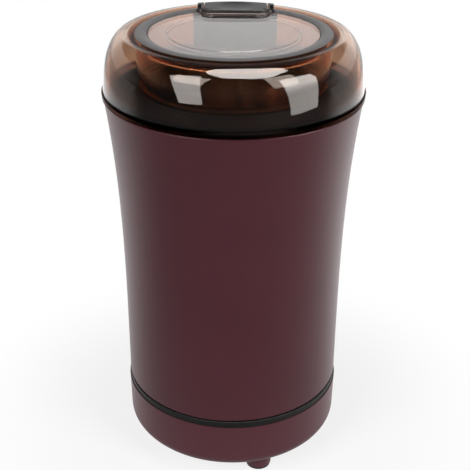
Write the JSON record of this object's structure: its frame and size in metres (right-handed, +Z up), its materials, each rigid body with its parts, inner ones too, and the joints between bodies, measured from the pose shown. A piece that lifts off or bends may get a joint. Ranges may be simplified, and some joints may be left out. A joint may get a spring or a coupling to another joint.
{
  "type": "electric spice grinder",
  "caption": "Upright blade grinder: flared casing, see-through dome lid with a press tab, steel bowl with a two-armed blade, motor and switch inside.",
  "frame": {"origin": "bottom centre, on the floor under the foot pads, on the main axis", "axes": "+Z up along the main axis and the blade's shaft, -Y the front, +Y the back with the press tab and the cord gland, +X to the right seen from the front"},
  "size_m": [0.1, 0.1, 0.1795],
  "materials": {
    "maroon_plastic": "satin",
    "charcoal_plastic": "satin",
    "black_rubber": "matt",
    "smoked_plastic": "clear, smoked brown",
    "clear_plastic": "clear",
    "dark_grey_plastic": "satin",
    "guide_plastic": "semi-gloss",
    "carrier_plastic": "satin",
    "bowl_steel": "polished",
    "blade_steel": "ground",
    "shaft_steel": "ground",
    "zinc_steel": "plated",
    "laminated_steel": "laminated",
    "copper_wire": "lacquered",
    "copper": "turned",
    "brass": "stamped",
    "bronze": "sintered",
    "carbon": "matt",
    "black_plastic": "satin",
    "white_plastic": "satin"
  },
  "bodies": {
    "base_unit": {"housing_shell": "maroon_plastic", "trim_band": "charcoal_plastic", "base_cap": "maroon_plastic", "foot_pads": "black_rubber", "base_screws": "zinc_steel", "cord_gland": "black_rubber", "bowl_carrier": "carrier_plastic", "grinding_bowl": "bowl_steel", "bowl_seal": "black_rubber", "shaft_bush": "black_plastic", "carrier_screws": "zinc_steel", "plunger_cap": "black_plastic", "plunger_spring": "shaft_steel", "switch_case": "black_plastic", "switch_screws": "zinc_steel", "upper_bracket": "zinc_steel", "lower_bracket": "zinc_steel", "upper_bearing": "bronze", "lower_bearing": "bronze", "stator_core": "laminated_steel", "field_coils": "copper_wire", "motor_bolts": "zinc_steel", "motor_dampers": "black_rubber", "brush_holders": "brass", "carbon_brushes": "carbon", "brush_springs": "shaft_steel"},
    "rotor": {"rotor_shaft": "shaft_steel", "armature_core": "laminated_steel", "armature_windings": "copper_wire", "commutator": "copper", "cooling_fan": "black_plastic", "blade_hub": "shaft_steel", "blade": "blade_steel", "blade_nut": "blade_steel"},
    "lid": {"lid_shell": "smoked_plastic", "lid_window": "clear_plastic", "lid_ring": "dark_grey_plastic", "press_guide": "guide_plastic"},
    "press_button": {"press_tab": "dark_grey_plastic", "push_rod": "white_plastic"},
    "plunger": {"switch_plunger": "white_plastic"},
    "lever": {"switch_lever": "shaft_steel"},
    "button": {"switch_button": "white_plastic"}
  },
  "joints": [
    {"name": "blade_spin", "type": "hinge", "parent": "base_unit", "child": "rotor", "pos_m": [0, 0, 0.08], "axis": [0, 0, 1], "continuous": true},
    {"name": "lid_lift", "type": "slide", "parent": "base_unit", "child": "lid", "axis": [0, 0, 1], "range_m": [0, 0.05]},
    {"name": "tab_press", "type": "slide", "parent": "lid", "child": "press_button", "axis": [0, 0, -1], "range_m": [0, 0.0025], "stiffness_N_per_m": 300, "springref_m": -0.003},
    {"name": "plunger_slide", "type": "slide", "parent": "base_unit", "child": "plunger", "axis": [0, 0, -1], "range_m": [0, 0.0025], "deforming": ["plunger_spring"]},
    {"name": "lever_turn", "type": "hinge", "parent": "base_unit", "child": "lever", "pos_m": [-0.0086, 0.0393, 0.1301], "axis": [0, 1, 0], "range_deg": [0, 17]},
    {"name": "button_slide", "type": "slide", "parent": "base_unit", "child": "button", "axis": [0, 0, -1], "range_m": [0, 0.0009]}
  ],
  "couplings": [
    {"joint": "plunger_slide", "follows": "tab_press", "ratio": 1},
    {"joint": "lever_turn", "follows": "tab_press", "rad_per_m": 116.3},
    {"joint": "button_slide", "follows": "tab_press", "ratio": 0.36}
  ]
}
